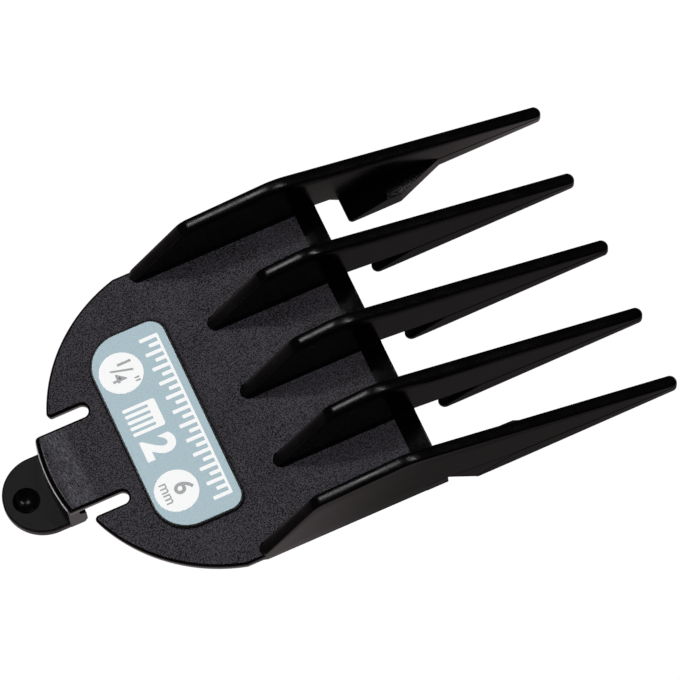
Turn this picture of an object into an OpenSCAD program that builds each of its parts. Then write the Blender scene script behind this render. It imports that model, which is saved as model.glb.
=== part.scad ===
// Clipper guard comb: a moulded guide comb that clips over the blade of a hair clipper.
// Frame: the origin is the middle of the blade seat, on the plate's underside. +X points to the
// tooth tips, +Z to the ribbed side that rides on the skin, and tooth 1 is on the +Y side.

/* [Teeth] */
// Distance between the middles of neighbouring teeth
tooth_pitch = 10.6; // [9:0.1:13]
// Thickness of a tooth and of its rib
tooth_w = 1.75; // [1.4:0.05:2.2]
// From the middle of the blade seat to the tooth tips
tip_reach = 48.5; // [42:0.5:60]
// Height of a tooth at its tip
tip_h = 1.5; // [1:0.1:2.4]
// How far the teeth hang below the blade seat
tooth_drop = 2.5; // [2:0.1:3.5]
// Radius of the rounded tooth tips, seen from the side
tip_r = 0.5; // [0.2:0.05:0.5]

/* [Ribs] */
// Height of a rib over the plate where its ramp ends
rib_rear_h = 8.2; // [6:0.1:10]
// Height of a rib over the plate at its highest point
rib_peak_h = 9.1; // [6.5:0.1:11]
// From the middle of the blade seat to the highest point of the ribs
rib_peak_x = 11.5; // [9:0.5:13]
// Slope of the ramps at the back of the ribs, in degrees
ramp_angle = 45; // [40:1:60]
// Back end of the three inner ribs
inner_rib_x = -3.4; // [-5:0.1:0]
// Back end of the two outer ribs
outer_rib_x = -9.9; // [-13:0.1:-7]

/* [Plate] */
// Thickness of the plate
plate_t = 1.4; // [1.2:0.1:2]
// From the middle of the blade seat to the plate's front edge
plate_front = 13.1; // [12:0.1:15]
// Width of the smooth crossbar in front of the plate
bar_w = 2.95; // [2.5:0.05:4]
// How much the round back of the plate bulges past the straight sides
back_bulge = 0.85; // [0.2:0.05:1]
// Middle of the round back, behind the middle of the blade seat
back_centre = 5.8; // [4:0.1:7]

/* [Blade hooks] */
// From the middle of the blade seat to the bottom of the notches, where the blade's edge lies
notch_x = 25.35; // [24.5:0.05:27]
// How far the hooks reach back from the bottom of the notches
hook_l = 5.7; // [4.5:0.05:7]
// Depth of the bottom of the notch below the blade seat
notch_drop = 0.1; // [0:0.05:0.4]
// Thickness of a hook at its back end
hook_nose_t = 0.3; // [0.25:0.05:0.6]
// How far the corner lugs reach in from the outer teeth
lug_reach = 2.6; // [1.5:0.1:4]
// How far the corner lugs keep their width in front of the notches
lug_flat_l = 1.65; // [0.5:0.05:4]
// Length over which the corner lugs narrow and run out into the outer teeth
lug_taper_l = 6.6; // [4:0.1:12]
// Thickness of the walls that close the outer notches
gusset_t = 0.9; // [0.6:0.05:1.2]

/* [Spring tongue] */
// Width of the tongue
tongue_w = 11.6; // [10:0.1:14]
// Width of the slots on both sides of the tongue
slot_w = 1.75; // [1.2:0.05:2.4]
// Inner ends of the slots, behind the middle of the blade seat
slot_end = 22; // [21.8:0.1:23]
// Back edge of the tongue, behind the middle of the blade seat
tongue_end = 30.6; // [30:0.1:32.5]
// Radius of the tongue's back edge, seen from above
tongue_end_r = 24.4; // [22:0.1:40]
// From the slots' inner ends back to the line where the tongue bends
bend_back = 0.7; // [0.5:0.1:1.2]
// Clearance of the bend in its seat
bend_gap = 0.05; // [0.03:0.01:0.1]
// Thickness of the wall that hangs from the tongue
wall_t = 2.1; // [1.6:0.1:2.6]
// How far the catch stands forward of the wall
catch_reach = 0.9; // [0.5:0.1:1.2]
// Room between the blade seat and the catch, for the heel of the blade
heel_gap = 1.2; // [0.8:0.1:1.6]

/* [Thumb tab] */
// Radius of the round thumb tab, half its width
tab_r = 5.42; // [4.8:0.02:5.7]
// Thickness of the thumb tab
tab_t = 1.2; // [1:0.1:1.8]
// Top of the thumb tab, below the blade seat
tab_drop = 2.9; // [2.6:0.1:3.6]
// Back end of the tab, behind the middle of the blade seat
tab_end = 36.92; // [36:0.02:40]
// Width of the dimple in the tab
dimple_d = 3.6; // [2.6:0.1:4.4]
// Depth of the dimple
dimple_depth = 0.7; // [0.4:0.1:0.8]
// From the tab's back end to the middle of the dimple
dimple_in = 3.02; // [2.8:0.02:3.6]

/* [Label] */
// Length of the printed label, across the comb
label_l = 28.7; // [24:0.1:31]
// Width of the printed label, along the comb
label_w = 10.9; // [9:0.1:12]
// Middle of the label, behind the middle of the blade seat
label_x = 14.2; // [13.6:0.1:14.6]
// Radius of the label's back corners
label_back_r = 4.6; // [3:0.1:4.8]
// Radius of the label's front corners
label_front_r = 2; // [1:0.1:4]
// Border of the raised pad around the label
pad_border = 0.35; // [0.2:0.05:0.6]
// Height of the raised pad
pad_h = 0.45; // [0.3:0.05:0.8]
// Thickness of the label
label_t = 0.1; // [0.08:0.01:0.2]
// Diameter of the two white discs on the label
disc_d = 5.85; // [5:0.05:6.4]
// Thickness of the discs
disc_t = 0.06; // [0.05:0.01:0.1]
// From the middle of the comb to the middle of a disc
disc_y = 9.07; // [8:0.01:10]
// From the label's middle back to the discs' middles
disc_back = 2; // [1.5:0.1:2.4]

/* [Hidden] */
TEETH = 5;
MIDDLE = 3;
half_w = (TEETH - 1) / 2 * tooth_pitch + tooth_w / 2;
bar_front = plate_front + bar_w;
back_r = half_w + back_bulge;
rib_rear_z = plate_t + rib_rear_h;
rib_peak_z = plate_t + rib_peak_h;
tip_top = tip_h - tooth_drop;
tooth_slope = (rib_peak_z - tip_top) / (tip_reach - rib_peak_x);
root_z = rib_peak_z - tooth_slope * (bar_front - rib_peak_x);
ramp_l = rib_rear_h / tan(ramp_angle);
hook_x = notch_x - hook_l;
lug_taper_x = notch_x + lug_flat_l;
lug_end_x = lug_taper_x + lug_taper_l;
ramp_bend_r = 2.5;
peak_bend_r = 9;
bend_x = -(slot_end + bend_back);
bay_half = tongue_w / 2 + slot_w;
wall_half = tab_r;
wall_front = -(tongue_end - wall_t);
tab_bottom = -(tab_drop + tab_t);
catch_slope = 0.7;
heel_fillet = 0.45;
dimple_r = (pow(dimple_d / 2, 2) + pow(dimple_depth, 2)) / (2 * dimple_depth);
far = 200;
arc_steps = 8;
back_facets = 180;
edge_facets = 360;

$fn = 96;

moulded = [0.13, 0.13, 0.14];
polished = [0.06, 0.06, 0.065];
printed = [0.67, 0.77, 0.8];

// Middle of tooth number n, counted from the +Y side
function tooth_y(n) = (MIDDLE - n) * tooth_pitch;

// Side of the comb, +1 or -1, that an outer tooth is on
function side(n) = n < MIDDLE ? 1 : -1;

// Points of the arc that rounds corner p, between the corners before and after it, with radius r
function corner_arc(before, p, after, r) =
    let (
        u = (before - p) / norm(before - p),
        v = (after - p) / norm(after - p),
        half = acos(u * v) / 2,
        m = (u + v) / norm(u + v),
        c = p + m * (r / sin(half)),
        a = p + u * (r / tan(half)),
        b = p + v * (r / tan(half)),
        start = atan2(a[1] - c[1], a[0] - c[0]),
        turn = atan2(b[1] - c[1], b[0] - c[0]) - start,
        sweep = turn > 180 ? turn - 360 : turn < -180 ? turn + 360 : turn
    )
    [for (i = [0:arc_steps])
        let (angle = start + sweep * i / arc_steps)
        c + r * [cos(angle), sin(angle)]];

// Outline with corners [x, y, radius], where a radius of 0 stays sharp
function rounded(corners) =
    let (n = len(corners))
    [for (i = [0:n - 1])
        let (
            before = corners[(i + n - 1) % n],
            c = corners[i],
            after = corners[(i + 1) % n]
        )
        each c[2] == 0 ? [[c[0], c[1]]]
            : corner_arc([before[0], before[1]], [c[0], c[1]], [after[0], after[1]], c[2])];

// A side view drawn in X and Z, given the thickness w across the comb, in the middle at y
module across(y, w) {
    translate([0, y + w / 2, 0])
        rotate([90, 0, 0])
            linear_extrude(w)
                children();
}

// A bar along X from x0 to x1 whose back end is round
module round_backed(x0, x1, w) {
    translate([x0 + w / 2, 0])
        circle(d = w);
    translate([x0 + w / 2, -w / 2])
        square([x1 - x0 - w / 2, w]);
}

module plate_outline() {
    intersection() {
        translate([-far, -half_w])
            square([far + plate_front, 2 * half_w]);
        union() {
            translate([-back_centre, 0])
                circle(r = back_r, $fn = back_facets);
            translate([-back_centre, -half_w])
                square([back_centre + plate_front, 2 * half_w]);
        }
    }
}

// The open bay around the tongue: two round-ended slots and the space behind the bend
module tongue_bay() {
    for (s = [-1, 1]) {
        translate([-slot_end - slot_w / 2, s * (tongue_w + slot_w) / 2])
            circle(d = slot_w);
        translate([-far, s * (tongue_w + slot_w) / 2 - slot_w / 2])
            square([far - slot_end - slot_w / 2, slot_w]);
    }
    translate([-far, -bay_half])
        square([far + bend_x, 2 * bay_half]);
}

module bend_axis(r, l) {
    translate([bend_x, 0, plate_t / 2])
        rotate([90, 0, 0])
            cylinder(r = r, h = l, center = true);
}

module base_plate() {
    color(moulded)
        difference() {
            linear_extrude(plate_t)
                difference() {
                    plate_outline();
                    tongue_bay();
                }
            bend_axis(plate_t / 2 + bend_gap, tongue_w + slot_w);
        }
}

module front_crossbar() {
    color(polished)
        translate([plate_front, -half_w, 0])
            cube([bar_w, 2 * half_w, plate_t]);
}

// Rib over the plate and the crossbar: a ramp, a bend, and a gently rising top
module rib(n) {
    x0 = n == 1 || n == TEETH ? outer_rib_x : inner_rib_x;
    color(moulded)
        intersection() {
            across(tooth_y(n), tooth_w)
                polygon(rounded([
                    [x0, plate_t, 0],
                    [x0 + ramp_l, rib_rear_z, ramp_bend_r],
                    [rib_peak_x, rib_peak_z, peak_bend_r],
                    [bar_front, root_z, 0],
                    [bar_front, plate_t, 0]
                ]));
            translate([0, tooth_y(n), 0])
                linear_extrude(rib_peak_z)
                    round_backed(x0, bar_front, tooth_w);
        }
}

// Free part of a tooth: it thins towards its rounded tip and stands over the blade notch
module tooth(n) {
    color(moulded)
        across(tooth_y(n), tooth_w)
            polygon(rounded([
                [bar_front, plate_t, 0],
                [bar_front, root_z, 0],
                [tip_reach, tip_top, tip_r],
                [tip_reach, -tooth_drop, tip_r],
                [notch_x, -tooth_drop, 0],
                [notch_x, -notch_drop, 0]
            ]));
}

// Side view of a hook: a wedge that closes the notch from below
module hook_side() {
    polygon([
        [hook_x, -tooth_drop],
        [notch_x, -tooth_drop],
        [notch_x, -notch_drop],
        [hook_x, hook_nose_t - tooth_drop]
    ]);
}

module blade_hook(n) {
    color(moulded)
        intersection() {
            across(tooth_y(n), tooth_w)
                hook_side();
            translate([0, tooth_y(n), -tooth_drop])
                linear_extrude(tooth_drop)
                    round_backed(hook_x, notch_x, tooth_w);
        }
}

// Wide lug under an outer tooth, which reaches in and then narrows back to the tooth
module corner_lug(n) {
    outer = side(n) * half_w;
    inner_face = side(n) * (half_w - tooth_w);
    reach = side(n) * (half_w - tooth_w - lug_reach);
    color(moulded) {
        across((outer + reach) / 2, abs(outer - reach))
            hook_side();
        translate([0, 0, -tooth_drop])
            linear_extrude(tooth_drop - notch_drop)
                polygon([
                    [notch_x, inner_face],
                    [notch_x, reach],
                    [lug_taper_x, reach],
                    [lug_end_x, inner_face]
                ]);
    }
}

// Thin wall on the comb's outer side that fills the notch between an outer tooth and its lug
module outer_gusset(n) {
    color(moulded)
        across(side(n) * (half_w - gusset_t / 2), gusset_t)
            polygon([
                [bar_front, plate_t],
                [notch_x, -notch_drop],
                [hook_x, hook_nose_t - tooth_drop]
            ]);
}

// Everything in front of the tongue's curved back edge
module before_back_edge() {
    translate([tongue_end_r - tongue_end, 0, 0])
        cylinder(r = tongue_end_r, h = far, center = true, $fn = edge_facets);
}

// The tongue bends about a round bead that turns in a hollow at the plate's edge
module spring_tongue() {
    color(moulded) {
        bend_axis(plate_t / 2, tongue_w);
        intersection() {
            before_back_edge();
            translate([-far, -tongue_w / 2, 0])
                cube([far + bend_x, tongue_w, plate_t]);
        }
    }
}

// Wall under the tongue's back edge, with the catch that grips the heel of the blade
module tongue_catch() {
    catch_x = wall_front + catch_reach;
    color(moulded)
        intersection() {
            before_back_edge();
            across(0, 2 * wall_half)
                polygon([
                    [-far, 0],
                    [-far, tab_bottom],
                    [wall_front + catch_reach / 2, tab_bottom],
                    [catch_x, tab_bottom + catch_slope],
                    [catch_x, -heel_gap - catch_slope / 2],
                    [wall_front, -heel_gap],
                    [wall_front, -heel_fillet],
                    [wall_front + heel_fillet, 0]
                ]);
        }
}

module thumb_tab() {
    color(polished)
        difference() {
            translate([0, 0, tab_bottom])
                linear_extrude(tab_t) {
                    translate([tab_r - tab_end, 0])
                        circle(r = tab_r);
                    translate([tab_r - tab_end, -tab_r])
                        square([tab_end - tab_r + wall_front, 2 * tab_r]);
                }
            before_back_edge();
            translate([dimple_in - tab_end, 0, -tab_drop - dimple_depth + dimple_r])
                sphere(r = dimple_r);
        }
}

// Outline of the label, grown by a border; its two back corners are rounder than the front ones
module label_outline(border) {
    back = -label_x - label_w / 2 - border;
    front = -label_x + label_w / 2 + border;
    half = label_l / 2 + border;
    polygon(rounded([
        [back, -half, label_back_r + border],
        [front, -half, label_front_r + border],
        [front, half, label_front_r + border],
        [back, half, label_back_r + border]
    ]));
}

module label_pad() {
    color(moulded)
        translate([0, 0, plate_t])
            linear_extrude(pad_h)
                label_outline(pad_border);
}

module size_label() {
    color(printed)
        translate([0, 0, plate_t + pad_h])
            linear_extrude(label_t)
                label_outline(0);
}

module disc(s) {
    color("white")
        translate([-label_x - disc_back, s * disc_y, plate_t + pad_h + label_t])
            cylinder(d = disc_d, h = disc_t);
}

base_plate();
front_crossbar();
for (n = [1:TEETH]) {
    rib(n);
    tooth(n);
}
for (n = [2:TEETH - 1]) {
    blade_hook(n);
}
for (n = [1, TEETH]) {
    corner_lug(n);
    outer_gusset(n);
}
spring_tongue();
tongue_catch();
thumb_tab();
label_pad();
size_label();
disc(1);  // upper_disc
disc(-1);  // lower_disc
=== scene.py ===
import math

import bmesh
import bpy
import numpy as np
from mathutils import Matrix, Vector


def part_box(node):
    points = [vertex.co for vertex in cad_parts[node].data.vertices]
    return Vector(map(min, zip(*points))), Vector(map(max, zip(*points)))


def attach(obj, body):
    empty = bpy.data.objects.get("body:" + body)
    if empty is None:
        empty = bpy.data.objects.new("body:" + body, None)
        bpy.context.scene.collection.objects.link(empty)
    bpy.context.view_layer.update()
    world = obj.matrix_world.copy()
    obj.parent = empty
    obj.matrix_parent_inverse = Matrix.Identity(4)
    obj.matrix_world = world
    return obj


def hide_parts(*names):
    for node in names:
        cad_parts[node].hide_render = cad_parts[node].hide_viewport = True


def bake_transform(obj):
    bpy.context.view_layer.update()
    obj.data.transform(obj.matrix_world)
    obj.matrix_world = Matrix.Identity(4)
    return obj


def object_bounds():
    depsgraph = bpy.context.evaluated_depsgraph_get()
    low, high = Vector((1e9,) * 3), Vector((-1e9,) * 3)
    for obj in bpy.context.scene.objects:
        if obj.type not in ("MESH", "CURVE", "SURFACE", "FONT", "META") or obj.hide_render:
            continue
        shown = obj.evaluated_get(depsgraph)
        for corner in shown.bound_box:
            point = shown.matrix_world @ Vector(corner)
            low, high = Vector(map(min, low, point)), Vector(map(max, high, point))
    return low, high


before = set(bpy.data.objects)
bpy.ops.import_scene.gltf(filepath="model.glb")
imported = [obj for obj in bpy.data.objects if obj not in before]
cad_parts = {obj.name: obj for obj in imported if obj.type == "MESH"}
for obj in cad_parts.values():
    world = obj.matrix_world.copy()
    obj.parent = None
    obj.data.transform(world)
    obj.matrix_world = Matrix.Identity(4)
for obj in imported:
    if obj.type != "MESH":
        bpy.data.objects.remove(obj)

# Clipper guard comb. All shapes are worked out in millimetres in the CAD frame and put into the
# meshes in metres: X runs to the tooth tips, Y across the comb, Z up to the ribbed side.
mm = 0.001
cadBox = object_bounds()


# Lowest and highest corner of a CAD node, in millimetres
def nodeBox(node):
    low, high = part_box(node)
    return np.array(low) / mm, np.array(high) / mm


# Puts points and faces into a mesh object, merges doubled points, turns the faces outward and
# keeps edges sharper than sharpAngle crisp
def makePiece(name, points, faces, materials, faceMaterial=None, sharpAngle=38):
    mesh = bpy.data.meshes.new(name)
    mesh.from_pydata((np.asarray(points, float) * mm).tolist(), [], faces)
    for material in materials:
        mesh.materials.append(material)
    if faceMaterial is not None:
        mesh.polygons.foreach_set("material_index", np.asarray(faceMaterial, np.int32))
    shape = bmesh.new()
    shape.from_mesh(mesh)
    bmesh.ops.remove_doubles(shape, verts=shape.verts, dist=1e-7)
    bmesh.ops.dissolve_degenerate(shape, edges=shape.edges, dist=1e-8)
    bmesh.ops.recalc_face_normals(shape, faces=shape.faces)
    shape.to_mesh(mesh)
    shape.free()
    mesh.shade_smooth()
    mesh.set_sharp_from_angle(angle=math.radians(sharpAngle))
    piece = bpy.data.objects.new(name, mesh)
    bpy.context.scene.collection.objects.link(piece)
    return piece


# Faces of a grid of rows by columns whose columns close on themselves, with an end face on the
# first and the last row. Its points are numbered from start on.
def gridFaces(rows, cols, start=0):
    index = start + np.arange(rows * cols).reshape(rows, cols)
    here, there = index[:-1], index[1:]
    quads = np.stack([here, np.roll(here, -1, 1), np.roll(there, -1, 1), there], -1)
    return quads.reshape(-1, 4).tolist(), index[0][::-1].tolist(), index[-1].tolist()


# A section (rows of points round a loop) carried along a path and closed at both ends.
# faceMaterial numbers the material of each side face, then of the two end faces.
def loftPiece(name, grid, materials, faceMaterial=None, sharpAngle=38):
    rows, cols = grid.shape[:2]
    quads, first, last = gridFaces(rows, cols)
    return makePiece(name, grid.reshape(-1, 3), quads + [first, last], materials, faceMaterial,
                     sharpAngle)


# Several closed grids joined into one mesh
def joinGrids(name, grids, materials, sharpAngle=38):
    points, faces, start = [], [], 0
    for grid in grids:
        rows, cols = grid.shape[:2]
        quads, first, last = gridFaces(rows, cols, start)
        faces += quads + [first, last]
        points.append(grid.reshape(-1, 3))
        start += rows * cols
    return makePiece(name, np.concatenate(points), faces, materials, sharpAngle=sharpAngle)


# Rounds the corners (x, y, radius) of an outline: each corner becomes an arc that touches both
# of its edges, and a radius of 0 leaves it sharp. An open outline has sharp ends.
def roundedPath(corners, closed=True, degrees=7.5):
    corners = np.asarray(corners, float)
    points, radii = corners[:, :2], corners[:, 2]
    parts, done = [], 0
    for i in np.flatnonzero(radii > 0):
        p, r = points[i], radii[i]
        u = points[i - 1] - p
        v = points[(i + 1) % len(points)] - p
        u, v = u / np.linalg.norm(u), v / np.linalg.norm(v)
        half = math.acos(np.clip(u @ v, -1, 1)) / 2
        centre = p + (u + v) / np.linalg.norm(u + v) * r / math.sin(half)
        a = p + u * r / math.tan(half) - centre
        b = p + v * r / math.tan(half) - centre
        start = math.atan2(a[1], a[0])
        sweep = (math.atan2(b[1], b[0]) - start + math.pi) % (2 * math.pi) - math.pi
        steps = max(3, math.ceil(abs(math.degrees(sweep)) / degrees))
        t = start + sweep * np.linspace(0, 1, steps + 1)
        parts += [points[done:i], centre + r * np.stack([np.cos(t), np.sin(t)], 1)]
        done = i + 1
    path = np.concatenate(parts + [points[done:]])
    keep = np.linalg.norm(path - np.roll(path, 1, 0), axis=1) > 1e-6
    return path[keep] if closed else path


# Outward mitre normals of a closed anticlockwise outline: the sum of its two edge normals over
# one plus their product
def mitreNormals(outline):
    edge = np.roll(outline, -1, 0) - outline
    edge /= np.linalg.norm(edge, axis=1, keepdims=True)
    after = np.stack([edge[:, 1], -edge[:, 0]], 1)
    before = np.roll(after, 1, 0)
    return (after + before) / (1 + (after * before).sum(1, keepdims=True))


# Quarter round from one angle to another: (radius less cosine, radius times sine)
def quarter(radius, start, end, steps):
    t = np.radians(np.linspace(start, end, steps + 1))
    return np.stack([radius * (1 - np.cos(t)), radius * np.sin(t)], 1)


# Rim of a slab from its top face to its bottom face, as (inset, height): a round of radius
# topR, a side that leans in by draft, and a round of radius lowR
def rimProfile(low, high, topR, lowR, steps=6, draft=0.0):
    top = quarter(topR, 90, 0, steps)
    bottom = quarter(lowR, 0, 90, steps)
    support = 0.04  # a narrow flat ring that keeps the flat face's shading flat
    return np.concatenate([[[topR + support, high]],
                           top + [0, high - topR],
                           bottom * [1, -1] + [draft, low + lowR],
                           [[lowR + draft + support, low]]])


# A slab: the rim profile is carried round the outline along its mitre normals, and the top and
# bottom rows are filled. rimWay replaces the normals where an edge butts against a neighbour.
def slabPiece(name, outline, profile, materials, rimWay=None, sharpAngle=38):
    way = mitreNormals(outline) if rimWay is None else rimWay
    flat = outline[None] - profile[:, :1, None] * way[None]
    high = np.broadcast_to(profile[:, 1][:, None, None], flat.shape[:2] + (1,))
    grid = np.concatenate([flat, high], 2)
    rows, cols = grid.shape[:2]
    quads, first, last = gridFaces(rows, cols)
    rim = np.ones(len(quads), int) * (len(materials) - 1)
    rim[:cols] = 0
    return makePiece(name, grid.reshape(-1, 3), quads + [first, last], materials,
                     np.r_[rim, 0, 0], sharpAngle)


# Turns an sRGB hex colour into linear red, green, blue and alpha
def linearColour(hexText):
    srgb = np.array([int(hexText[i:i + 2], 16) for i in (1, 3, 5)]) / 255
    linear = np.where(srgb <= 0.04045, srgb / 12.92, ((srgb + 0.055) / 1.055) ** 2.4)
    return (*linear.tolist(), 1.0)


# Adds a node: settings name its sockets or its own values, links name the socket each
# (node, output) pair goes into
def addNode(tree, kind, settings=None, links=None):
    node = tree.nodes.new(kind)
    for key, value in (settings or {}).items():
        if isinstance(key, int) or key in node.inputs:
            node.inputs[key].default_value = value
        else:
            setattr(node, key, value)
    for key, (source, output) in (links or {}).items():
        tree.links.new(source.outputs[output], node.inputs[key])
    return node


# Starts a material and gives its tree, its shader and Object coordinates
def startMaterial(name, base, roughness, ior, extra=None):
    material = bpy.data.materials.new(name)
    material.use_nodes = True
    tree = material.node_tree
    shader = tree.nodes["Principled BSDF"]
    settings = {"Base Color": linearColour(base), "Roughness": roughness, "IOR": ior}
    for key, value in {**settings, **(extra or {})}.items():
        shader.inputs[key].default_value = value
    place = addNode(tree, "ShaderNodeTexCoord")
    return material, tree, shader, place


# Noise of a real grain size in millimetres: the texture's scale is one over that size in metres
def grainNoise(tree, place, size, detail=2, rough=0.5, stretch=(1, 1, 1)):
    turned = addNode(tree, "ShaderNodeMapping", {"Scale": stretch}, {"Vector": (place, "Object")})
    return addNode(tree, "ShaderNodeTexNoise",
                   {"Scale": 1 / (size * mm), "Detail": detail, "Roughness": rough},
                   {"Vector": (turned, "Vector")})


# Spreads a noise's value over a range of numbers
def spread(tree, noise, low, high, fromLow=0.3, fromHigh=0.7):
    return addNode(tree, "ShaderNodeMapRange",
                   {"From Min": fromLow, "From Max": fromHigh, "To Min": low, "To Max": high},
                   {"Value": (noise, "Fac")})


# Mixes two colours by a value
def mixColours(tree, value, output, colourA, colourB):
    mix = addNode(tree, "ShaderNodeMix", {"data_type": "RGBA"}, {0: (value, output)})
    mix.inputs[6].default_value = linearColour(colourA)
    mix.inputs[7].default_value = linearColour(colourB)
    return mix


absIor = 1.53  # refractive index of ABS


# ABS moulded against a spark-eroded steel face: a fine matt grain that scatters the light, so
# the plate looks dark grey and not black. The real grit is about 0.06 mm and is drawn coarser.
sparkEroded = {"colourLow": "#030304", "colourHigh": "#444147", "grain": 0.17, "contrast": 0.08,
               "roughness": 0.54, "gloss": 0.24, "bump": 1.0, "bumpDepth": 0.05, "cloud": 6.0,
               "lightest": 0.94, "drift": (-0.05, 0.12)}


def sparkErodedAbs(name, worn=False):
    s = sparkEroded
    material, tree, shader, place = startMaterial(name, s["colourLow"], s["roughness"], absIor,
                                                  {"Specular IOR Level": s["gloss"]})
    grit = grainNoise(tree, place, s["grain"], 2, 0.6)
    cloud = grainNoise(tree, place, s["cloud"], 2, 0.5)
    tone = spread(tree, grit, 0, s["lightest"], 0.5 - s["contrast"], 0.5 + s["contrast"])
    drift = spread(tree, cloud, *s["drift"])
    total = addNode(tree, "ShaderNodeMath", {"operation": "ADD", "use_clamp": True},
                    {0: (tone, 0), 1: (drift, 0)})
    colour = mixColours(tree, total, 0, s["colourLow"], s["colourHigh"])
    last = (colour, 2)
    if worn:
        last = wornPatch(tree, place, colour)
    tree.links.new(last[0].outputs[last[1]], shader.inputs["Base Color"])
    bump = addNode(tree, "ShaderNodeBump",
                   {"Strength": s["bump"], "Distance": s["bumpDepth"] * mm},
                   {"Height": (grit, 0)})
    tree.links.new(bump.outputs[0], shader.inputs["Normal"])
    return material


# Fine pale rubs across the tongue, where the thumb and the clipper's body touch it
wornLook = {"colour": "#78787e", "backX": -29.6, "frontX": -25.4, "streak": 0.13, "blotch": 2.2,
            "amount": 0.62, "lineRange": (0.42, 0.72), "leastBlotch": 0.25,
            "blotchRange": (0.38, 0.58), "core": 0.4}


def wornPatch(tree, place, colour):
    w = wornLook
    streaks = grainNoise(tree, place, w["streak"], 3, 0.7, (1, 0.16, 1))
    blotches = grainNoise(tree, place, w["blotch"], 3, 0.6)
    lines = spread(tree, streaks, 0, w["amount"], *w["lineRange"])
    areas = spread(tree, blotches, w["leastBlotch"], 1, *w["blotchRange"])
    axes = addNode(tree, "ShaderNodeSeparateXYZ", {}, {0: (place, "Object")})
    middle = (w["backX"] + w["frontX"]) / 2 * mm
    away = addNode(tree, "ShaderNodeMath", {"operation": "SUBTRACT", 1: middle}, {0: (axes, 0)})
    away = addNode(tree, "ShaderNodeMath", {"operation": "ABSOLUTE"}, {0: (away, 0)})
    half = (w["frontX"] - w["backX"]) / 2 * mm
    band = addNode(tree, "ShaderNodeMapRange",
                   {"From Min": half, "From Max": half * w["core"], "To Min": 0, "To Max": 1,
                    "interpolation_type": "SMOOTHSTEP"}, {"Value": (away, 0)})
    worn = addNode(tree, "ShaderNodeMath", {"operation": "MULTIPLY"}, {0: (lines, 0), 1: (areas, 0)})
    worn = addNode(tree, "ShaderNodeMath", {"operation": "MULTIPLY"}, {0: (worn, 0), 1: (band, 0)})
    mix = addNode(tree, "ShaderNodeMix", {"data_type": "RGBA"}, {0: (worn, 0), 6: (colour, 2)})
    mix.inputs[7].default_value = linearColour(w["colour"])
    return mix, 2


# ABS moulded against stoned steel: near black, with soft reflections that a very fine drawn
# texture along the part breaks up a little
satinMoulded = {"colour": "#040303", "roughness": 0.2, "gloss": 0.24, "drawn": 0.2, "haze": 3.0,
                "fineSpread": (-0.03, 0.04), "hazeSpread": (-0.04, 0.06), "bump": 0.12,
                "bumpDepth": 0.01}


def satinMouldedAbs(name, extraRough=0.0, gloss=None):
    s = satinMoulded
    base = s["roughness"] + extraRough
    material, tree, shader, place = startMaterial(name, s["colour"], base, absIor,
                                                  {"Specular IOR Level": gloss or s["gloss"]})
    fine = grainNoise(tree, place, s["drawn"], 3, 0.6, (0.35, 1, 1))
    haze = grainNoise(tree, place, s["haze"], 3, 0.55)
    fineRough = spread(tree, fine, *s["fineSpread"])
    hazeRough = spread(tree, haze, *(base + np.array(s["hazeSpread"])))
    rough = addNode(tree, "ShaderNodeMath", {"operation": "ADD"},
                    {0: (fineRough, 0), 1: (hazeRough, 0)})
    tree.links.new(rough.outputs[0], shader.inputs["Roughness"])
    bump = addNode(tree, "ShaderNodeBump",
                   {"Strength": s["bump"], "Distance": s["bumpDepth"] * mm},
                   {"Height": (fine, 0)})
    tree.links.new(bump.outputs[0], shader.inputs["Normal"])
    return material


# ABS moulded against polished steel: black with clear reflections, and a faint haze of handling
polishedMoulded = {"colour": "#020202", "roughness": 0.1, "haze": 2.0, "spread": (-0.03, 0.09)}


def polishedAbs():
    s = polishedMoulded
    material, tree, shader, place = startMaterial("polishedMouldedAbs", s["colour"],
                                                  s["roughness"], absIor)
    haze = grainNoise(tree, place, s["haze"], 4, 0.6)
    rough = spread(tree, haze, *(s["roughness"] + np.array(s["spread"])))
    tree.links.new(rough.outputs[0], shader.inputs["Roughness"])
    return material


# Handled ABS of the thumb tab: a half-gloss black, greyed by fine rubs
handledLook = {"colourLow": "#050505", "colourHigh": "#131112", "roughness": 0.36, "gloss": 0.12,
               "streakSize": 0.25, "spread": (-0.06, 0.08)}


# Painted highlight: pale ABS along the foot of the tongue's rolled back edge, for the light it
# catches
paintedHighlightLook = {"colourLow": "#6b6a6d", "colourHigh": "#b4b3b6", "roughness": 0.5, "gloss": 0.4,
              "streakSize": 0.3, "spread": (-0.06, 0.08)}


# Two tones mixed by streaky noise: the thumb tab's handled finish, and the painted highlight on the
# tongue's back edge
def streakedAbs(name, s):
    material, tree, shader, place = startMaterial(name, s["colourLow"],
                                                  s["roughness"], absIor,
                                                  {"Specular IOR Level": s["gloss"]})
    toneStreaks = grainNoise(tree, place, s["streakSize"], 4, 0.7, (1, 0.4, 1))
    colour = mixColours(tree, spread(tree, toneStreaks, 0, 1), 0, s["colourLow"], s["colourHigh"])
    tree.links.new(colour.outputs[2], shader.inputs["Base Color"])
    rough = spread(tree, toneStreaks, *(s["roughness"] + np.array(s["spread"])))
    tree.links.new(rough.outputs[0], shader.inputs["Roughness"])
    return material


# Printed polyester film: a pale blue, slightly uneven offset tint under a satin varnish
filmLook = {"colourLow": "#a3bac4", "colourHigh": "#b4c8cf", "roughness": 0.42, "dot": 0.22,
            "gloss": 0.2, "ior": 1.58}


def printedFilm():
    s = filmLook
    material, tree, shader, place = startMaterial("printedPolyesterFilm", s["colourLow"],
                                                  s["roughness"], s["ior"],
                                                  {"Specular IOR Level": s["gloss"]})
    dots = grainNoise(tree, place, s["dot"], 2, 0.6)
    colour = mixColours(tree, spread(tree, dots, 0, 1), 0, s["colourLow"], s["colourHigh"])
    tree.links.new(colour.outputs[2], shader.inputs["Base Color"])
    return material


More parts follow.
